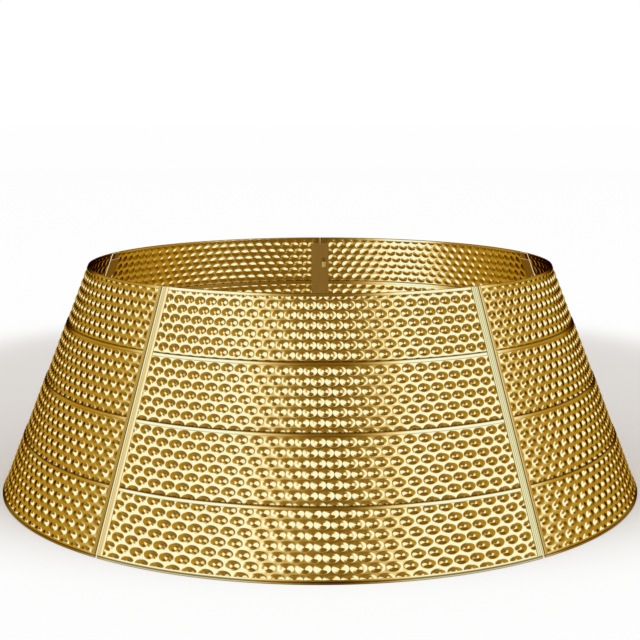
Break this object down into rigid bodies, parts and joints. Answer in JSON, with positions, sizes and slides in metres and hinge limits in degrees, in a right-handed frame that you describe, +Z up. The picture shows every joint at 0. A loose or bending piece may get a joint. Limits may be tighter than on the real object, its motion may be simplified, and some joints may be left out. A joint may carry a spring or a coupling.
{
  "type": "christmas tree collar",
  "caption": "Cone-shaped ring of shiny gold embossed sheet in hooked panels with folded horizontal hems; it stands on the floor and hides a tree stand.",
  "frame": {"origin": "on the ring's upright axis, at floor level", "axes": "+Z up along the axis, -Y towards the middle of the front panel, +X to its right side"},
  "size_m": [0.7648, 0.7656, 0.2629],
  "materials": {
    "embossed_sheet": "polished gold-coloured sheet, embossed with small raised bumps",
    "edge_channel": "polished gold-coloured sheet, plain",
    "joining_strip": "satin gold-coloured sheet"
  },
  "bodies": {
    "left_panel": {"left_bottom_tier": "embossed_sheet", "left_lower_tier": "embossed_sheet", "left_upper_tier": "embossed_sheet", "left_top_tier": "embossed_sheet", "left_left_channel": "edge_channel", "left_right_channel": "edge_channel", "left_to_rear_left_joining_strip": "joining_strip", "left_to_front_joining_strip": "joining_strip"},
    "rear_left_panel": {"rear_left_bottom_tier": "embossed_sheet", "rear_left_lower_tier": "embossed_sheet", "rear_left_upper_tier": "embossed_sheet", "rear_left_top_tier": "embossed_sheet", "rear_left_left_channel": "edge_channel", "rear_left_right_channel": "edge_channel", "rear_left_to_rear_right_joining_strip": "joining_strip"},
    "rear_right_panel": {"rear_right_bottom_tier": "embossed_sheet", "rear_right_lower_tier": "embossed_sheet", "rear_right_upper_tier": "embossed_sheet", "rear_right_top_tier": "embossed_sheet", "rear_right_left_channel": "edge_channel", "rear_right_right_channel": "edge_channel", "rear_right_to_right_joining_strip": "joining_strip"},
    "right_panel": {"right_bottom_tier": "embossed_sheet", "right_lower_tier": "embossed_sheet", "right_upper_tier": "embossed_sheet", "right_top_tier": "embossed_sheet", "right_left_channel": "edge_channel", "right_right_channel": "edge_channel", "right_to_front_joining_strip": "joining_strip"},
    "front_panel": {"front_bottom_tier": "embossed_sheet", "front_lower_tier": "embossed_sheet", "front_upper_tier": "embossed_sheet", "front_top_tier": "embossed_sheet", "front_left_channel": "edge_channel", "front_right_channel": "edge_channel"}
  },
  "joints": [
    {"name": "rear_left_panel_lift", "type": "slide", "parent": "left_panel", "child": "rear_left_panel", "axis": [0, 0, 1], "range_m": [0, 0.3]},
    {"name": "rear_right_panel_lift", "type": "slide", "parent": "rear_left_panel", "child": "rear_right_panel", "axis": [0, 0, 1], "range_m": [0, 0.3]},
    {"name": "right_panel_lift", "type": "slide", "parent": "rear_right_panel", "child": "right_panel", "axis": [0, 0, 1], "range_m": [0, 0.3]},
    {"name": "front_panel_lift", "type": "slide", "parent": "right_panel", "child": "front_panel", "axis": [0, 0, 1], "range_m": [0, 0.3]}
  ]
}
